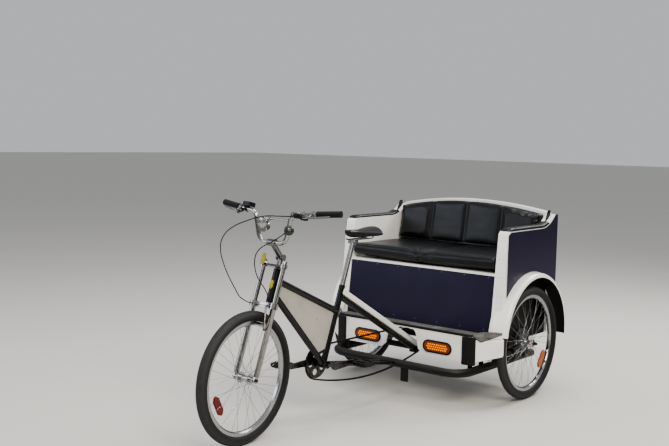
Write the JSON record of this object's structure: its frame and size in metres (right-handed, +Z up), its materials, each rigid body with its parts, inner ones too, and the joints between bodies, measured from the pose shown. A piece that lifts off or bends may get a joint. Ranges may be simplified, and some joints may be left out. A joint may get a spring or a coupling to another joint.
{
  "type": "cycle rickshaw",
  "caption": "Cycle rickshaw: a bicycle front half with a double-crown fork, chain-driven to an open passenger cab with a padded bench, armrests, fenders and a boarding step.",
  "frame": {"origin": "on the ground, in the middle of the vehicle's length and width", "axes": "+X forward, towards the front wheel, +Y to the rider's left, +Z up"},
  "size_m": [2.5027, 1.324, 1.1922],
  "materials": {
    "black_pad": "satin",
    "black_vinyl": "gloss seat vinyl",
    "black_plastic": "satin",
    "silver": "satin",
    "black_paint": "satin black",
    "white_shell": "gloss moulded fibreglass",
    "steel": "machined",
    "chain": "oiled",
    "mat": "grained",
    "chrome": "polished, with road dust",
    "pale_sign": "satin",
    "amber_lamp": "gloss lens",
    "tyre": "matt, dusty",
    "grip": "matt",
    "dark_sign": "satin film",
    "red_lamp": "gloss lens",
    "white_paint": "gloss white"
  },
  "bodies": {
    "frame": {"arm_pad_left": "black_pad", "arm_pad_right": "black_pad", "back_cushion": "black_vinyl", "bike_frame": "black_paint", "brake_calipers": "black_paint", "cab_back": "white_shell", "cab_floor": "white_shell", "cab_side_left": "white_shell", "cab_side_right": "white_shell", "canopy_brackets": "black_paint", "canopy_knobs": "black_plastic", "chassis": "black_paint", "corner_bumpers": "black_pad", "drive_chain": "chain", "fender_left": "white_shell", "fender_right": "white_shell", "floor_mat": "mat", "frame_sign": "pale_sign", "front_lamps": "amber_lamp", "rear_axle": "steel", "saddle": "black_vinyl", "seat_board": "white_shell", "seat_cushion": "black_vinyl", "seat_front": "dark_sign", "seat_post": "silver", "side_sign_left": "dark_sign", "side_sign_right": "dark_sign", "tail_lamps": "red_lamp", "upper_stay": "white_paint"},
    "steering": {"fork": "chrome", "front_axle": "steel", "stem": "silver", "handlebar": "chrome", "grips": "grip", "brake_levers": "silver", "head_lamp": "black_plastic", "bell": "silver", "bar_display": "black_plastic", "front_brake": "silver", "brake_pads": "black_pad", "front_brake_cable": "black_plastic", "crown_cable": "black_plastic"},
    "front_wheel": {"front_tyre": "tyre", "front_wheel": "chrome"},
    "rear_wheel_left": {"rear_left_tyre": "tyre", "rear_left_wheel": "chrome"},
    "rear_wheel_right": {"rear_right_tyre": "tyre", "rear_right_wheel": "chrome"},
    "crank": {"crankset": "steel"},
    "pedal_left": {"pedal_left": "black_plastic"},
    "pedal_right": {"pedal_right": "black_plastic"}
  },
  "joints": [
    {"name": "steering", "type": "hinge", "parent": "frame", "child": "steering", "pos_m": [0.87879, 0, 0.32165], "axis": [-0.3338, 0, 0.9426], "range_deg": [-44, 36]},
    {"name": "front_wheel_spin", "type": "hinge", "parent": "steering", "child": "front_wheel", "pos_m": [0.9164, 0.00279, 0.33497], "axis": [-0.0658, 0.9976, -0.0233], "continuous": true},
    {"name": "rear_left_spin", "type": "hinge", "parent": "frame", "child": "rear_wheel_left", "pos_m": [-0.8435, 0.6, 0.335], "axis": [0, 1, 0], "continuous": true},
    {"name": "rear_right_spin", "type": "hinge", "parent": "frame", "child": "rear_wheel_right", "pos_m": [-0.8435, -0.6, 0.335], "axis": [0, 1, 0], "continuous": true},
    {"name": "crank_spin", "type": "hinge", "parent": "frame", "child": "crank", "pos_m": [0.3225, 0, 0.304], "axis": [0, 1, 0], "continuous": true},
    {"name": "pedal_left_spin", "type": "hinge", "parent": "crank", "child": "pedal_left", "pos_m": [0.1525, 0.146, 0.304], "axis": [0, 1, 0], "continuous": true},
    {"name": "pedal_right_spin", "type": "hinge", "parent": "crank", "child": "pedal_right", "pos_m": [0.4925, -0.146, 0.304], "axis": [0, 1, 0], "continuous": true}
  ]
}
